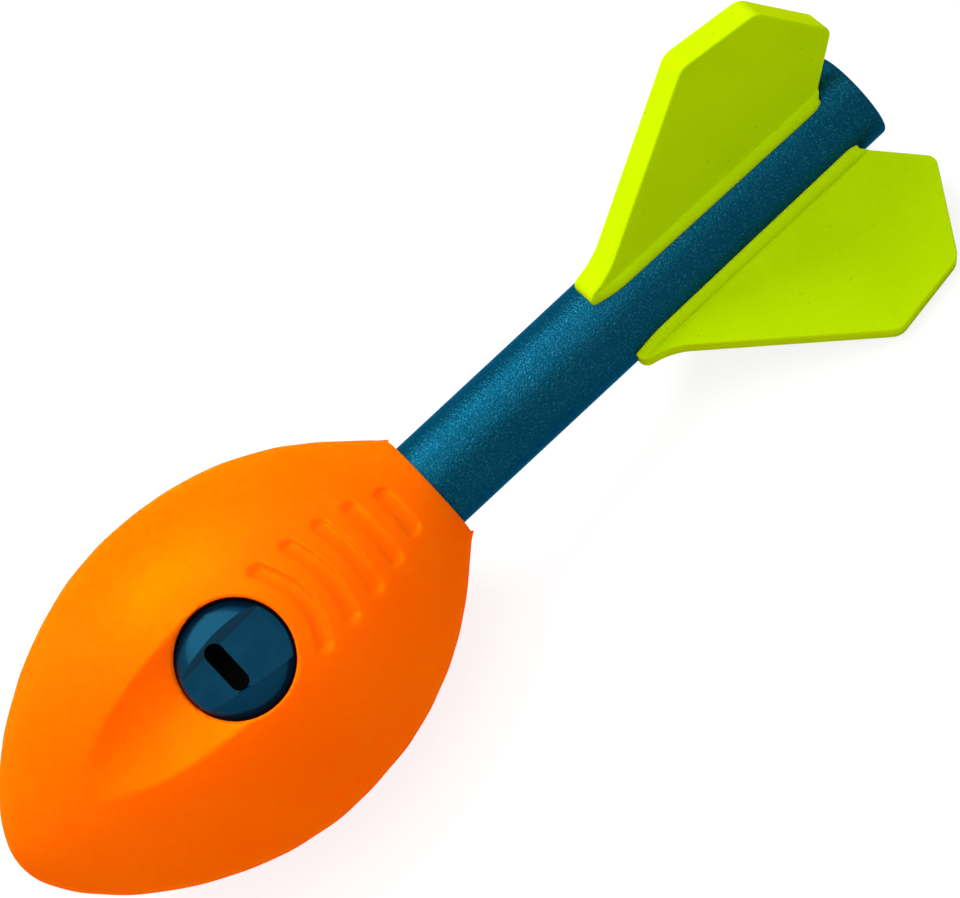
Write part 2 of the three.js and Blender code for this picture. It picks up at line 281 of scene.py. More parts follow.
def spun(outline, axis, steps):
    """A round form about X or Z from (along, out) points, on the axis at both ends or closed."""
    form = bmesh.new()
    closed = outline[0] == outline[-1]
    points = outline[:-1] if closed else outline
    if axis == "X":
        rim = [form.verts.new((along, 0, out)) for along, out in points]
    else:
        rim = [form.verts.new((out, 0, along)) for along, out in points]
    edges = [form.edges.new(pair) for pair in zip(rim, rim[1:])]
    if closed:
        edges.append(form.edges.new((rim[-1], rim[0])))
    turn_axis = Vector((axis == "X", 0, axis == "Z"))
    bmesh.ops.spin(form, geom=rim + edges, cent=(0, 0, 0), axis=turn_axis,
                   angle=FULL_TURN, steps=steps, use_merge=True)
    bmesh.ops.remove_doubles(form, verts=form.verts, dist=WELD)
    bmesh.ops.recalc_face_normals(form, faces=form.faces)
    return form


def corner_arc(centre, radius, start, end, steps):
    """Points of an arc in an outline, from one angle to another."""
    angles = [start + (end - start) * i / steps for i in range(steps + 1)]
    return [(centre[0] + radius * math.cos(a), centre[1] + radius * math.sin(a)) for a in angles]


def soft_min(a, b, width):
    """The lower of two heights, with a round of a given width where they meet."""
    near = max(width - abs(a - b), 0) / width
    return min(a, b) - near ** 2 * width / 4


# Foam head

def head_skin_outline():
    front = geometry.interpolate_bezier(
        (0, 0), (0, NOSE_HANDLE),
        (BELLY_STATION - BELLY_HANDLE, BELLY_RADIUS), (BELLY_STATION, BELLY_RADIUS),
        HEAD_FRONT_STEPS + 1)
    rear = geometry.interpolate_bezier(
        (BELLY_STATION, BELLY_RADIUS), (BELLY_STATION + BELLY_HANDLE, BELLY_RADIUS),
        (HEAD_LENGTH - HEAD_END_HANDLE_RUN, HEAD_END_RADIUS + HEAD_END_HANDLE_RISE),
        (HEAD_LENGTH, HEAD_END_RADIUS),
        HEAD_REAR_STEPS + 1)
    return [(point[0], point[1]) for point in front + rear[1:]]


HEAD_SKIN = head_skin_outline()
HEAD_STATIONS = [station for station, radius in HEAD_SKIN]


def head_radius(station):
    after = min(max(bisect.bisect(HEAD_STATIONS, station), 1), len(HEAD_SKIN) - 1)
    (x0, r0), (x1, r1) = HEAD_SKIN[after - 1], HEAD_SKIN[after]
    return r0 + (r1 - r0) * (station - x0) / (x1 - x0)


def scoop_depth(station, lateral):
    """Depth under the skin's crest: a round section, narrowing to a tip, negative outside."""
    reach = SCOOP_REACH if station < WHISTLE_STATION else SCOOP_TAIL_REACH
    room = 1 - ((station - WHISTLE_STATION) / reach) ** 2
    if room <= 0:
        return -SCOOP_EDGE_ROUND
    half_width = SCOOP_HALF_WIDTH * room ** SCOOP_TAPER_POWER
    edge = half_width ** 2 / (2 * head_radius(station))
    away = lateral - head_radius(station) * math.sin(SCOOP_TURN)
    return edge + (half_width ** 2 - away ** 2) / (2 * SCOOP_SECTION_RADIUS)


def groove_depth(station, radius, offset):
    """Depth of the bent grooves behind a whistle, round in section and at both ends."""
    if station < WHISTLE_STATION or abs(offset) > 2 * GROOVE_HALF_ANGLE:
        return 0
    deepest = 0
    lift = GROOVE_SECTION_RADIUS - GROOVE_DEPTH
    for number, reach_share in enumerate(GROOVE_REACH_SHARES):
        reach = GROOVE_HALF_ANGLE * reach_share
        share = max(-1, min(1, offset / reach))
        bend = GROOVE_BEND * GROOVE_BEND_FADE_SHARE ** number
        middle = WHISTLE_STATION + GROOVE_START + number * GROOVE_PITCH - bend * share ** 2
        slope = 2 * bend * share / (reach * radius)
        along = (station - middle) / math.hypot(1, slope)
        beyond = max(abs(offset) - reach, 0) * radius
        distance = math.hypot(along, beyond)
        if distance < GROOVE_SECTION_RADIUS:
            arc = math.sqrt(GROOVE_SECTION_RADIUS ** 2 - distance ** 2) - lift
            deepest = max(deepest, -soft_min(0, -arc, GROOVE_EDGE_ROUND))
    return deepest


def pocket_rim_drop(station, lateral):
    """How far the foam rounds down into a whistle's pocket."""
    edge = CAP_RADIUS + POCKET_CLEARANCE
    away = math.hypot(station - WHISTLE_STATION, lateral) - edge
    if away >= POCKET_RIM_ROUND:
        return 0
    inward = min(POCKET_RIM_ROUND - away, POCKET_RIM_ROUND)
    return POCKET_RIM_ROUND - math.sqrt(POCKET_RIM_ROUND ** 2 - inward ** 2)


def mould_whistle_side(form, turn):
    """Presses one side's scoop, grooves and pocket rim into the head's skin."""
    to_side = Matrix.Rotation(-turn, 3, "X")
    back = to_side.inverted()
    for vert in form.verts:
        place = to_side @ vert.co
        radius = math.hypot(place.y, place.z)
        if place.z < radius / 2 or radius < head_radius(place.x) - WELD:
            continue
        offset = math.atan2(place.y, place.z)
        depth = groove_depth(place.x, radius, offset)
        place.y -= depth * math.sin(offset)
        place.z -= depth * math.cos(offset)
        floor = head_radius(place.x) - scoop_depth(place.x, place.y)
        place.z = soft_min(place.z, floor, SCOOP_EDGE_ROUND)
        place.z -= pocket_rim_drop(place.x, place.y)
        vert.co = back @ place


def crowd_sides(form):
    """Draws the head's meridians closer together near the two whistles."""
    middle = WHISTLE_TURNS[0]
    for vert in form.verts:
        radius = math.hypot(vert.co.y, vert.co.z)
        angle = math.atan2(-vert.co.y, vert.co.z) - middle
        angle += middle - SIDE_CROWDING_SHARE / 2 * math.sin(2 * angle)
        vert.co.y = -radius * math.sin(angle)
        vert.co.z = radius * math.cos(angle)


def pocket_form(turn):
    cup_top = CAP_SEAT_HEIGHT - FIT_GAP
    step = cup_top - CUP_FLANGE - FIT_GAP
    floor = cup_top - CUP_DEPTH - FIT_GAP
    mouth = BELLY_RADIUS + CUT_OVERRUN
    wide = CAP_RADIUS + POCKET_CLEARANCE
    narrow = CUP_RADIUS + FIT_GAP
    outline = [(floor, 0), (floor, narrow), (step, narrow), (step, wide), (mouth, wide), (mouth, 0)]
    form = spun(outline, "Z", CAP_SIDES)
    place = Matrix.Rotation(turn, 4, "X") @ Matrix.Translation((WHISTLE_STATION, 0, 0))
    bmesh.ops.transform(form, matrix=place, verts=form.verts)
    return form


def seam_outward(route, i):
    """Square to the seam's route, away from the middle of the head."""
    heading = (route[min(i + 1, len(route) - 1)] - route[max(i - 1, 0)]).normalized()
    outward = Vector((-heading.y, heading.x, 0))
    if outward.dot(route[i] - Vector((BELLY_STATION, 0, 0))) < 0:
        outward.negate()
    return outward


def seam_heights(route):
    """The flash is uneven, and stands up in a burr at both of its ends."""
    walked = [0]
    for a, b in zip(route, route[1:]):
        walked.append(walked[-1] + (b - a).length)
    heights = []
    for distance in walked:
        wave = noise.noise(Vector((distance / SEAM_UNEVEN_RUN, 0, 0)))
        uneven = SEAM_EVEN_SHARE + SEAM_UNEVEN_SHARE * wave
        to_end = min(distance, walked[-1] - distance)
        burr = SEAM_BURR * max(0, 1 - to_end / SEAM_BURR_REACH)
        heights.append(SEAM_HEIGHT * uneven + burr)
    return heights


def seam_form():
    """The thin flash that the mould's two halves leave along the head and over its nose."""
    one_side = [Vector((station, radius, 0)) for station, radius in HEAD_SKIN]
    other_side = [Vector((station, -radius, 0)) for station, radius in HEAD_SKIN[1:]]
    route = one_side[::-1] + other_side
    outward = [seam_outward(route, i) for i in range(len(route))]
    crest = seam_heights(route)
    root = [-SEAM_ROOT] * len(route)
    form = bmesh.new()
    rails = []
    sides = ((root, -1), (crest, -SEAM_CREST_SHARE), (crest, SEAM_CREST_SHARE), (root, 1))
    for heights, side in sides:
        beside = Vector((0, 0, side * SEAM_HALF_WIDTH))
        rail = [form.verts.new(place + out * height + beside)
                for place, out, height in zip(route, outward, heights)]
        rails.append([form.edges.new(pair) for pair in zip(rail, rail[1:])])
    for first, second in zip(rails, rails[1:] + rails[:1]):
        bmesh.ops.bridge_loops(form, edges=first + second)
    bmesh.ops.holes_fill(form, edges=form.edges)
    bmesh.ops.recalc_face_normals(form, faces=form.faces)
    bmesh.ops.rotate(form, cent=(0, 0, 0), matrix=Matrix.Rotation(WHISTLE_TURNS[0], 3, "X"),
                     verts=form.verts)
    return form


def join_form(piece, form):
    """Adds a bmesh to a piece's mesh."""
    extra = bpy.data.meshes.new("extra")
    form.to_mesh(extra)
    form.free()
    whole = bmesh.new()
    whole.from_mesh(piece.data)
    whole.from_mesh(extra)
    whole.to_mesh(piece.data)
    whole.free()
    bpy.data.meshes.remove(extra)


def paint_pocket_shade(head, finish):
    """Gives the walls and floors of the whistles' pockets the dark pocket finish: painted shade for
    the deep gap round each cap.
    """
    head.data.materials.append(finish)
    wide = CAP_RADIUS + POCKET_CLEARANCE
    back = TOY.inverted()
    for face in head.data.polygons:
        place = back @ face.center
        for turn in WHISTLE_TURNS:
            beside = Matrix.Rotation(-turn, 3, "X") @ place
            if beside.z > 0 and math.hypot(beside.x - WHISTLE_STATION, beside.y) <= wide:
                face.material_index = 1


def foam_head(finish, painted_pocket_shade):
    rim_centre = (HEAD_LENGTH - HEAD_RIM_ROUND,
                  HEAD_END_RADIUS - HEAD_RIM_ROUND * math.tan(math.pi / 8))
    rim = corner_arc(rim_centre, HEAD_RIM_ROUND, math.pi / 4, 0, HEAD_RIM_STEPS)
    bore = TUBE_RADIUS + FIT_GAP
    grip = TUBE_RADIUS + FOAM_GRIP_GAP
    lip = HEAD_LENGTH - HEAD_RIM_ROUND
    flange_bore = ANCHOR_FLANGE_RADIUS + FIT_GAP
    flange_front = TUBE_FRONT - 2 * FIT_GAP - ANCHOR_FLANGE
    socket = [
        (HEAD_LENGTH, grip + FIT_GAP), (lip, grip), (lip - SEAM_BURR_REACH, bore),
        (TUBE_FRONT, bore), (TUBE_FRONT, flange_bore),
        (flange_front, flange_bore), (flange_front, 0),
    ]
    form = spun(HEAD_SKIN[:-1] + rim + socket, "X", HEAD_SIDES)
    crowd_sides(form)
    for turn in WHISTLE_TURNS:
        mould_whistle_side(form, turn)
    head = loose("foam_head", form)
    cut(head, [pocket_form(turn) for turn in WHISTLE_TURNS])
    join_form(head, seam_form())
    settle(head, finish, "head_foam", sharp=HEAD_SHARP_ANGLE)
    paint_pocket_shade(head, painted_pocket_shade)
    return head


# Foam fins

def fin_point(form, setback_and_height):
    setback, height = setback_and_height
    return form.verts.new((TOY_LENGTH - setback, -FIN_THICKNESS / 2, TUBE_RADIUS + height))


def slice_form(form, place, across):
    whole = form.verts[:] + form.edges[:] + form.faces[:]
    bmesh.ops.bisect_plane(form, geom=whole, plane_co=place, plane_no=across)


def bead_spread(below):
    """How far a fin's foot stands out, by the share of the way down from the crease."""
    if below < 0:
        return 0
    reach = BEAD_FULLEST_SHARE
    return BEAD_WIDTH * math.sqrt(max(0, 1 - ((min(below, 1) - reach) / reach) ** 2))


def bead_fin_foot(form):
    """Swells the foot along the tube, from nothing at its front tip and more towards the tail."""
    crease = TUBE_RADIUS + BEAD_RISE
    front = TOY_LENGTH - FIN_FOOT_SETBACK
    back = TOY_LENGTH - FIN_ROOT_SETBACK
    skin = math.sqrt(TUBE_RADIUS ** 2 - (FIN_THICKNESS / 2 + BEAD_WIDTH * BEAD_TAIL_SHARE) ** 2)
    for share in BEAD_LEVEL_SHARES:
        slice_form(form, (0, 0, crease - share * (crease - skin)), (0, 0, 1))
    for share in CREASE_LEVEL_SHARES:
        slice_form(form, (0, 0, crease + share * CREASE_FADE), (0, 0, 1))
    for number in range(1, BEAD_STEPS + 1):
        slice_form(form, (front + (back - front) * number / BEAD_STEPS, 0, 0), (1, 0, 0))
        slice_form(form, (front + BEAD_RUN * number / BEAD_STEPS, 0, 0), (1, 0, 0))
        slice_form(form, (back - BEAD_END_RUN * number / BEAD_STEPS, 0, 0), (1, 0, 0))
    for vert in form.verts:
        rise = vert.co.z - crease
        from_front = max(0, min(1, (vert.co.x - front) / BEAD_RUN))
        from_back = max(0, min(1, (back - vert.co.x) / BEAD_END_RUN))
        fade = math.sin(from_front * math.pi / 2) * (1 - BEAD_END_DROP_SHARE * (1 - from_back) ** 2)
        towards_tail = max(0, min(1, (vert.co.x - front) / (back - front)))
        spread = bead_spread(-rise / (crease - skin)) * (1 + (BEAD_TAIL_SHARE - 1) * towards_tail)
        if rise >= 0:
            spread = -CREASE_DIP * max(0, 1 - rise / CREASE_FADE) ** 2
        vert.co.y += math.copysign(spread * fade, vert.co.y)


def foam_fin(name, turn, finish):
    form = bmesh.new()
    low_front = fin_point(form, (FIN_FOOT_SETBACK, -FIN_SUNK))
    toe = fin_point(form, (FIN_FOOT_SETBACK, FIN_TOE_HEIGHT))
    ankle = fin_point(form, FIN_ANKLE)
    shoulder = fin_point(form, FIN_SHOULDER)
    crown = fin_point(form, FIN_CROWN)
    heel = fin_point(form, FIN_HEEL)
    root = fin_point(form, (FIN_ROOT_SETBACK, 0))
    low_root = fin_point(form, (FIN_ROOT_SETBACK, -FIN_SUNK))
    form.faces.new((low_front, toe, ankle, shoulder, crown, heel, root, low_root))
    rounds = (([toe], FIN_TOE_ROUND, FIN_CORNER_STEPS),
              ([ankle], FIN_ANKLE_ROUND, FIN_ANKLE_STEPS),
              ([shoulder, crown, heel], FIN_CORNER_ROUND, FIN_CORNER_STEPS))
    for corners, radius, steps in rounds:
        bmesh.ops.bevel(form, geom=corners, offset=radius, segments=steps, profile=0.5,
                        affect="VERTICES", material=-1)
    sheet = bmesh.ops.extrude_face_region(form, geom=form.faces[:])
    far_side = [item for item in sheet["geom"] if isinstance(item, bmesh.types.BMVert)]
    bmesh.ops.translate(form, vec=(0, FIN_THICKNESS, 0), verts=far_side)
    bmesh.ops.recalc_face_normals(form, faces=form.faces)
    outline = [edge for edge in form.edges if edge.verts[0].co.y * edge.verts[1].co.y > 0]
    bmesh.ops.bevel(form, geom=outline, offset=FIN_EDGE_ROUND, segments=FIN_EDGE_STEPS,
                    profile=0.5, affect="EDGES", material=-1)
    bead_fin_foot(form)
    fin = loose(name + "_foam", form)
    skin = TUBE_RADIUS + FOAM_GRIP_GAP
    before = TOY_LENGTH - FIN_FOOT_SETBACK - CUT_OVERRUN
    beyond = TOY_LENGTH + CUT_OVERRUN
    cut(fin, [spun([(before, 0), (before, skin), (beyond, skin), (beyond, 0)], "X", TUBE_SIDES)])
    return settle(fin, finish, name, Matrix.Rotation(turn, 4, "X"), even_flats=True)


# Tube, anchor and plug

def tail_tube(finish):
    edge = corner_arc((TOY_LENGTH - TUBE_EDGE_ROUND, TUBE_RADIUS - TUBE_EDGE_ROUND),
                      TUBE_EDGE_ROUND, 0, math.pi / 2, TUBE_EDGE_STEPS)
    outline = [(TUBE_FRONT, TUBE_BORE), (TOY_LENGTH, TUBE_BORE), *edge,
               (TUBE_FRONT, TUBE_RADIUS), (TUBE_FRONT, TUBE_BORE)]
    tube = loose("tube", spun(outline, "X", TUBE_SIDES))
    return settle(tube, finish, "tail_tube")


def tail_anchor(finish):
    rear = TUBE_FRONT - FIT_GAP
    front = rear - ANCHOR_FLANGE
    tip = TUBE_FRONT + ANCHOR_SPIGOT
    bore = TUBE_BORE - FIT_GAP
    outline = [(front, 0), (front, ANCHOR_FLANGE_RADIUS), (rear, ANCHOR_FLANGE_RADIUS),
               (rear, bore), (tip, bore), (tip, 0)]
    anchor = loose("anchor", spun(outline, "X", TUBE_SIDES))
    round_edges(anchor, MOULDED_EDGE, MOULDED_EDGE_STEPS)
    return settle(anchor, finish, "tail_anchor")


def end_plug(finish):
    face = TOY_LENGTH - PLUG_RECESS
    radius = TUBE_BORE - FIT_GAP
    inside = face - PLUG_FLOOR
    skirt = face - PLUG_LENGTH
    outline = [(face, 0), (face, radius), (skirt, radius), (skirt, radius - PLUG_WALL),
               (inside, radius - PLUG_WALL), (inside, 0)]
    plug = loose("end_plug", spun(outline, "X", TUBE_SIDES))
    round_edges(plug, MOULDED_EDGE, PLUG_EDGE_STEPS)
    return settle(plug, finish, "tail_end_plug")


# Whistles

def dome_outline():
    """From the cap's side over its rounded rim to its crown, as (height, radius) points."""
    curve = (CAP_RADIUS ** 2 + CAP_DOME_RISE ** 2) / (2 * CAP_DOME_RISE)
    crown = CAP_RIM_HEIGHT + CAP_DOME_RISE
    centre = crown - curve
    shoulder = CAP_RADIUS - CAP_RIM_RUN
    points = []
    for i in range(CAP_DOME_STEPS + 1):
        radius = shoulder * (1 - i / CAP_DOME_STEPS)
        points.append((centre + math.sqrt(curve ** 2 - radius ** 2), radius))
    side = (CAP_RIM_HEIGHT - CAP_RIM_DROP, CAP_RADIUS)
    rim = geometry.interpolate_bezier(
        side, (CAP_RIM_HEIGHT - CAP_RIM_DROP / 3, CAP_RADIUS),
        (points[0][0] - CAP_RIM_DROP / 5, CAP_RADIUS - CAP_RIM_RUN / 2), points[0],
        CAP_RIM_POINTS)
    return [(point[0], point[1]) for point in rim[:-1]] + points


def channel_form():
    crown = CAP_RIM_HEIGHT + CAP_DOME_RISE
    floor = crown - CHANNEL_DEPTH
    top = crown + CUT_OVERRUN
    reach = CAP_RADIUS + CUT_OVERRUN
    form = bmesh.new()
    bmesh.ops.create_cube(form, size=2)
    for vert in form.verts:
        height = top if vert.co.z > 0 else floor
        lean = CHANNEL_FAR_LEAN_SHARE if vert.co.y > 0 else CHANNEL_NEAR_LEAN_SHARE
        half = CHANNEL_HALF_WIDTH + lean * (height - crown)
        spread = 1 + CHANNEL_TAPER_SHARE * vert.co.x * reach / CAP_RADIUS
        vert.co = (vert.co.x * reach, vert.co.y * half * spread, height)
    bmesh.ops.rotate(form, cent=(0, 0, 0), matrix=Matrix.Rotation(-CHANNEL_TURN, 3, "Z"),
                     verts=form.verts)
    return form


def slot_form():
    form = bmesh.new()
    radius = SLOT_WIDTH / 2
    depth = CAP_RIM_HEIGHT + CAP_DOME_RISE + 2 * CUT_OVERRUN
    bmesh.ops.create_cone(form, cap_ends=True, segments=SLOT_SIDES,
                          radius1=radius, radius2=radius, depth=depth)
    for vert in form.verts:
        vert.co.y += math.copysign(SLOT_LENGTH / 2 - radius, vert.co.y)
        vert.co.x -= SLOT_SET_FORWARD
    return form


def whistle_cap(side, place, finish):
    spigot = CUP_BORE - FIT_GAP
    outline = [(0, 0), (0, spigot - CAP_SPIGOT_WALL), (-CAP_SPIGOT_DEPTH, spigot - CAP_SPIGOT_WALL),
               (-CAP_SPIGOT_DEPTH, spigot), (0, spigot), (0, CAP_RADIUS), *dome_outline()]
    cap = loose("cap_" + side, spun(outline, "Z", CAP_SIDES))
    cut(cap, [channel_form(), slot_form()])
    round_edges(cap, CAP_EDGE_ROUND, CAP_EDGE_STEPS)
    seat = place @ Matrix.Translation((0, 0, CAP_SEAT_HEIGHT))
    return settle(cap, finish, "whistle_cap_" + side, seat, even_flats=True)


def whistle_cup(side, place, finish):
    outline = [(-CUP_DEPTH, 0), (-CUP_DEPTH, CUP_RADIUS), (-CUP_FLANGE, CUP_RADIUS),
               (-CUP_FLANGE, CAP_RADIUS), (0, CAP_RADIUS), (0, CUP_BORE),
               (CUP_WALL - CUP_DEPTH, CUP_BORE), (CUP_WALL - CUP_DEPTH, 0)]
    cup = loose("cup_" + side, spun(outline, "Z", CAP_SIDES))
    round_edges(cup, MOULDED_EDGE, MOULDED_EDGE_STEPS)
    seat = place @ Matrix.Translation((0, 0, CAP_SEAT_HEIGHT - FIT_GAP))
    return settle(cup, finish, "whistle_cup_" + side, seat)


# Finishes: the orange foam and the tube get their gloss from a tinted metallic share, because
# a white specular layer would put a veil on their edges

def add(tree, kind, inputs=None, **settings):
    """A node of a kind with its settings, its inputs set or linked by name or number."""
    made = tree.nodes.new(kind)
    for name, value in settings.items():
        setattr(made, name, value)
    for name, value in (inputs or {}).items():
        if isinstance(value, bpy.types.NodeSocket):
            tree.links.new(value, made.inputs[name])
        else:
            made.inputs[name].default_value = value
    return made


def new_finish(name, settings):
    finish = bpy.data.materials.new(name)
    finish.use_nodes = True
    tree = finish.node_tree
    shader = tree.nodes["Principled BSDF"]
    for socket, value in settings.items():
        shader.inputs[socket].default_value = value
    places = add(tree, "ShaderNodeTexCoord").outputs["Object"]
    return finish, tree, shader, places


def noise_at(tree, places, size_mm, detail=2.0, roughness=0.5):
    """Noise whose features are about a given size in millimetres."""
    return add(tree, "ShaderNodeTexNoise",
               {"Vector": places, "Scale": 1 / (size_mm * MM), "Detail": detail,
                "Roughness": roughness}).outputs["Fac"]


def spread_of(tree, value, low, high, to_low=0.0, to_high=1.0):
    """A value's range spread over another one, and held at both ends."""
    return add(tree, "ShaderNodeMapRange",
               {"Value": value, "From Min": low, "From Max": high,
                "To Min": to_low, "To Max": to_high}, clamp=True).outputs["Result"]


def blend_colours(tree, share, first, second):
    made = add(tree, "ShaderNodeMix", {0: share, 6: first, 7: second}, data_type="RGBA")
    return made.outputs[2]


def combine(tree, operation, first, second):
    return add(tree, "ShaderNodeMath", {0: first, 1: second}, operation=operation).outputs[0]


def bump(tree, height, depth_mm, strength, below=None):
    inputs = {"Height": height, "Distance": depth_mm * MM, "Strength": strength}
    if below is not None:
        inputs["Normal"] = below
    return add(tree, "ShaderNodeBump", inputs).outputs["Normal"]


def pores_at(tree, places, apart_mm, radius_mm, share):
    """One at small round pores, in a share of the cells of a given size, and zero elsewhere."""
    cells = add(tree, "ShaderNodeTexVoronoi", {"Vector": places, "Scale": 1 / (apart_mm * MM)})
    radius = radius_mm / apart_mm
    near = spread_of(tree, cells.outputs["Distance"], radius / 2, radius, 1, 0)
    drawn = add(tree, "ShaderNodeSeparateColor", {"Color": cells.outputs["Color"]}).outputs[0]
    return combine(tree, "MULTIPLY", near, combine(tree, "LESS_THAN", drawn, share))


def moulded_orange_foam():
    """Bright foam, with a faint red emission: a painted glow that lifts its red where the foam lies
    in shade.
    """
    finish, tree, shader, places = new_finish("moulded_orange_foam", {
        "Subsurface Weight": 0.9, "Subsurface Radius": (1.0, 0.05, 0.02),
        "Subsurface Scale": 0.007, "Metallic": 0.24, "Specular IOR Level": 0.0,
        "Specular Tint": (1.0, 0.25, 0.0, 1),
        # Emission: painted red glow that keeps the shaded foam from going brown.
        "Emission Color": (1.0, 0.04, 0.0, 1), "Emission Strength": 0.18,
    })
    cloudy = noise_at(tree, places, 30, 3)
    base = blend_colours(tree, spread_of(tree, cloudy, 0.35, 0.65),
                         (1.0, 0.15, 0.0, 1), (1.0, 0.166, 0.001, 1))
    mottled = noise_at(tree, places, 1.4, 3)
    base = blend_colours(tree, spread_of(tree, mottled, 0.3, 0.8, 0, 0.3), base, (1.0, 0.128, 0.0, 1))
    tree.links.new(base, shader.inputs["Base Color"])
    tree.links.new(spread_of(tree, mottled, 0.3, 0.7, 0.45, 0.54), shader.inputs["Roughness"])
    grain = noise_at(tree, places, 0.35, 2)
    waves = noise_at(tree, places, 9, 2)
    smooth = bump(tree, waves, 0.25, 0.25)
    tree.links.new(bump(tree, grain, 0.05, 0.25, smooth), shader.inputs["Normal"])
    return finish


def painted_shade_pocket_foam():
    """The foam inside the pockets in a dark red-brown: painted shade that keeps the gap round a cap
    dark.
    """
    finish, tree, shader, places = new_finish("painted_shade_pocket_foam", {"Specular IOR Level": 0.1})
    cloudy = noise_at(tree, places, 4, 2)
    # Painted shade: a dark red-brown in place of the orange foam.
    base = blend_colours(tree, spread_of(tree, cloudy, 0.3, 0.7),
                         (0.10, 0.012, 0.0, 1), (0.15, 0.02, 0.001, 1))
    tree.links.new(base, shader.inputs["Base Color"])
    tree.links.new(spread_of(tree, cloudy, 0.3, 0.7, 0.7, 0.85), shader.inputs["Roughness"])
    grain = noise_at(tree, places, 0.5, 2)
    tree.links.new(bump(tree, grain, 0.05, 0.3), shader.inputs["Normal"])
    return finish


def lime_sheet_foam():
    finish, tree, shader, places = new_finish("lime_sheet_foam", {
        "Subsurface Weight": 0.7, "Subsurface Radius": (0.8, 1.0, 0.2),
        "Subsurface Scale": 0.0012, "Specular IOR Level": 0.0,
    })
    cloudy = noise_at(tree, places, 22, 3)
    base = blend_colours(tree, spread_of(tree, cloudy, 0.35, 0.65),
                         (0.49, 0.72, 0.0, 1), (0.52, 0.75, 0.001, 1))
    grain = noise_at(tree, places, 0.9, 3)
    base = blend_colours(tree, spread_of(tree, grain, 0.3, 0.8, 0, 0.4), base, (0.43, 0.66, 0.0, 1))
    pore = pores_at(tree, places, 4, 0.36, 0.35)
    base = blend_colours(tree, combine(tree, "MULTIPLY", pore, 0.6), base, (0.16, 0.30, 0.0, 1))
    tree.links.new(base, shader.inputs["Base Color"])
    tree.links.new(spread_of(tree, grain, 0.3, 0.7, 0.62, 0.78), shader.inputs["Roughness"])
    cells = noise_at(tree, places, 0.5, 2)
    pits = bump(tree, combine(tree, "SUBTRACT", 1.0, pore), 0.2, 0.5)
    tree.links.new(bump(tree, cells, 0.06, 0.35, pits), shader.inputs["Normal"])
    return finish


def grained_tube_plastic():
    finish, tree, shader, places = new_finish("grained_tube_plastic", {
        "Metallic": 0.52, "Specular IOR Level": 0.0, "Specular Tint": (0.1, 0.55, 0.85, 1),
    })
    cloudy = noise_at(tree, places, 14, 4)
    base = blend_colours(tree, spread_of(tree, cloudy, 0.3, 0.7),
                         (0.001, 0.044, 0.08, 1), (0.002, 0.052, 0.093, 1))
    flecks = noise_at(tree, places, 0.5, 1, 0.6)
    fleck = spread_of(tree, flecks, 0.56, 0.7, 0, 0.4)
    base = blend_colours(tree, fleck, base, (0.03, 0.18, 0.26, 1))
    tree.links.new(base, shader.inputs["Base Color"])
    grain = noise_at(tree, places, 0.65, 2, 0.6)
    tree.links.new(spread_of(tree, grain, 0.3, 0.7, 0.22, 0.36), shader.inputs["Roughness"])
    tree.links.new(bump(tree, grain, 0.24, 1.0), shader.inputs["Normal"])
    return finish


def whistle_plastic():
    finish, tree, shader, places = new_finish("whistle_plastic", {
        "Specular IOR Level": 0.42, "Specular Tint": (0.08, 0.6, 1.0, 1),
    })
    cloudy = noise_at(tree, places, 6, 3)
    base = blend_colours(tree, spread_of(tree, cloudy, 0.3, 0.7),
                         (0.0, 0.014, 0.036, 1), (0.001, 0.019, 0.045, 1))
    tree.links.new(base, shader.inputs["Base Color"])
    grain = noise_at(tree, places, 0.3, 2)
    tree.links.new(spread_of(tree, cloudy, 0.3, 0.7, 0.2, 0.26), shader.inputs["Roughness"])
    tree.links.new(bump(tree, grain, 0.02, 0.3), shader.inputs["Normal"])
    return finish


# Near-black plastic for the cups and the tail anchor; its darkness is painted shade, so that the slot
# into a cup renders black.
def dark_inner_plastic():
    finish, tree, shader, places = new_finish("dark_inner_plastic", {"Specular IOR Level": 0.04})
    cloudy = noise_at(tree, places, 5, 3)
    base = blend_colours(tree, spread_of(tree, cloudy, 0.3, 0.7),
                         (0.004, 0.005, 0.006, 1), (0.008, 0.009, 0.011, 1))
    tree.links.new(base, shader.inputs["Base Color"])
    tree.links.new(spread_of(tree, cloudy, 0.3, 0.7, 0.45, 0.6), shader.inputs["Roughness"])
    grain = noise_at(tree, places, 0.4, 2)
    tree.links.new(bump(tree, grain, 0.03, 0.3), shader.inputs["Normal"])
    return finish


# Studio

def seen_directly(tree):
    """One for camera, mirror and see-through rays, zero for the light that falls on things."""
    path = add(tree, "ShaderNodeLightPath").outputs
    seen = combine(tree, "MAXIMUM", path["Is Camera Ray"], path["Is Glossy Ray"])
    return combine(tree, "MAXIMUM", seen, path["Is Transmission Ray"])


def white_floor():
    form = bmesh.new()
    bmesh.ops.create_grid(form, x_segments=1, y_segments=1, size=FLOOR_HALF_SIDE_M)
    floor = loose("floor", form)
    finish = bpy.data.materials.new("white_floor")
    finish.use_nodes = True
    tree = finish.node_tree
    tree.nodes.clear()
    lit = add(tree, "ShaderNodeBsdfDiffuse", {"Color": LIT_FLOOR_GREY}).outputs[0]
    paper = add(tree, "ShaderNodeBsdfDiffuse", {"Color": PAPER_GREY}).outputs[0]
    white = add(tree, "ShaderNodeEmission", {"Color": WHITE, "Strength": PAPER_GLOW}).outputs[0]
    bright = add(tree, "ShaderNodeAddShader", {0: paper, 1: white}).outputs[0]
    mix = add(tree, "ShaderNodeMixShader", {0: seen_directly(tree), 1: lit, 2: bright}).outputs[0]
    add(tree, "ShaderNodeOutputMaterial", {"Surface": mix})
    floor.data.materials.append(finish)


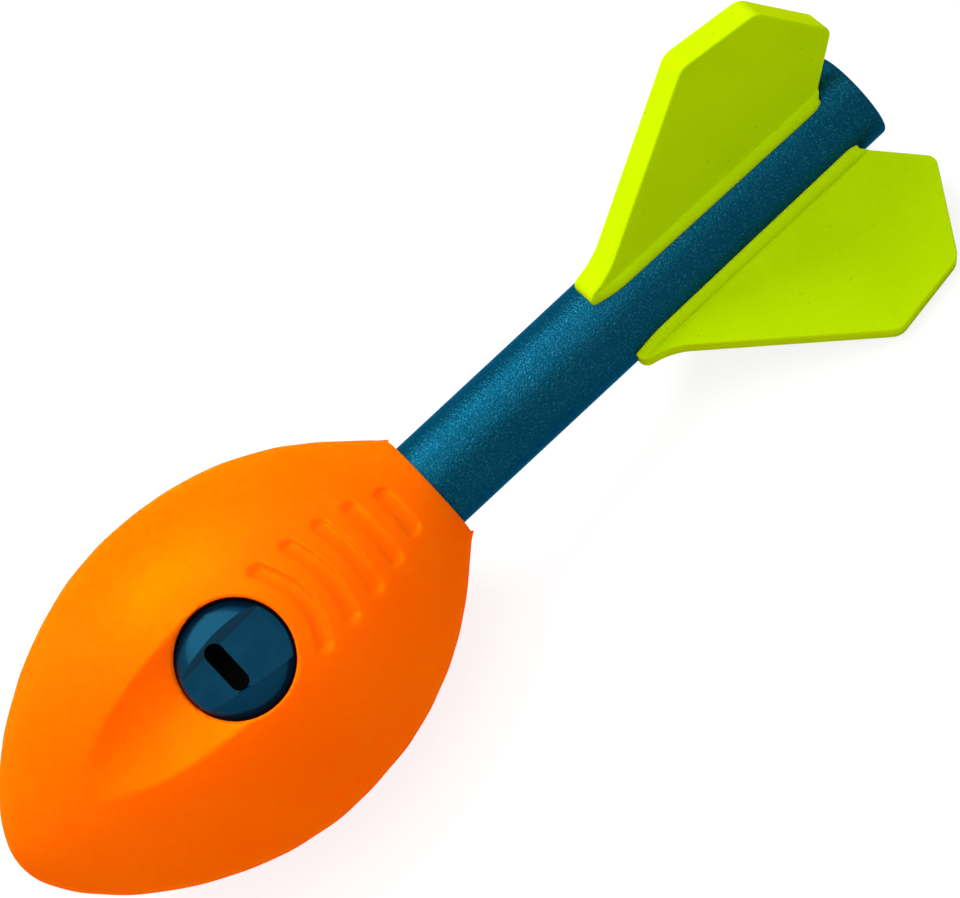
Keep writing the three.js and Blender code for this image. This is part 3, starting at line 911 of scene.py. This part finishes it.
def studio_world():
    world = bpy.data.worlds.new("studio")
    bpy.context.scene.world = world
    world.use_nodes = True
    tree = world.node_tree
    tree.nodes.clear()
    fill = add(tree, "ShaderNodeBackground", {"Color": WHITE, "Strength": WORLD_FILL}).outputs[0]
    white = add(tree, "ShaderNodeBackground", {"Color": WHITE, "Strength": 1.0}).outputs[0]
    mix = add(tree, "ShaderNodeMixShader", {0: seen_directly(tree), 1: fill, 2: white}).outputs[0]
    add(tree, "ShaderNodeOutputWorld", {"Surface": mix})


def softbox(name, place, side, power):
    """A square lamp in the row's frame, in metres and watts."""
    lamp = bpy.data.lights.new(name, "AREA")
    lamp.shape = "SQUARE"
    lamp.size = side
    lamp.energy = power
    holder = bpy.data.objects.new(name, lamp)
    bpy.context.scene.collection.objects.link(holder)
    toward = (Vector(place) - Vector(LAMP_AIM_M)).to_track_quat("Z", "Y")
    holder.matrix_world = Matrix.LocRotScale(Vector(place), toward, None)


def photo_camera():
    flat = math.cos(CAMERA_ELEVATION)
    back = Vector((math.sin(CAMERA_AZIMUTH) * flat, -math.cos(CAMERA_AZIMUTH) * flat,
                   math.sin(CAMERA_ELEVATION)))
    right = Vector((0, 0, 1)).cross(back).normalized()
    right.rotate(Matrix.Rotation(CAMERA_ROLL, 3, back))
    up = back.cross(right)
    middle = Vector((TOY_LENGTH / 2, 0, 0))
    place = middle + back * CAMERA_DISTANCE + right * CAMERA_AIM_RIGHT + up * CAMERA_AIM_UP
    view = Matrix((right, up, back)).transposed().to_4x4()
    lens = bpy.data.cameras.new("photo_camera")
    lens.sensor_fit = "HORIZONTAL"
    lens.sensor_width = SENSOR_WIDTH
    lens.lens = PHOTO_PX_PER_MM * CAMERA_DISTANCE * SENSOR_WIDTH / PHOTO_WIDTH_PX
    lens.clip_end = CAMERA_REACH_M
    camera = bpy.data.objects.new("photo_camera", lens)
    bpy.context.scene.collection.objects.link(camera)
    turned = TOY.to_3x3().normalized().to_4x4() @ view
    camera.matrix_world = Matrix.Translation(TOY @ place) @ turned
    bpy.context.scene.camera = camera


photo_camera()
orange = moulded_orange_foam()
lime = lime_sheet_foam()
grained = grained_tube_plastic()
navy = whistle_plastic()
dark = dark_inner_plastic()
painted_pocket_shade_foam = painted_shade_pocket_foam()

foam_head(orange, painted_pocket_shade_foam)
for fin_name, fin_turn in FIN_TURNS.items():
    foam_fin(fin_name, fin_turn, lime)
tail_tube(grained)
tail_anchor(dark)
end_plug(grained)
for whistle_side, whistle_turn in zip(("upper", "lower"), WHISTLE_TURNS):
    at_station = Matrix.Translation((WHISTLE_STATION, 0, 0))
    whistle_place = Matrix.Rotation(whistle_turn, 4, "X") @ at_station
    whistle_cap(whistle_side, whistle_place, navy)
    whistle_cup(whistle_side, whistle_place, dark)

white_floor()
studio_world()
softbox("near_lamp", (-0.01, -0.27, 1.34), 1.0, 12.6)
softbox("far_lamp", (0.03, 0.66, 1.2), 0.5, 13.5)

bpy.context.scene.view_settings.view_transform = "Standard"
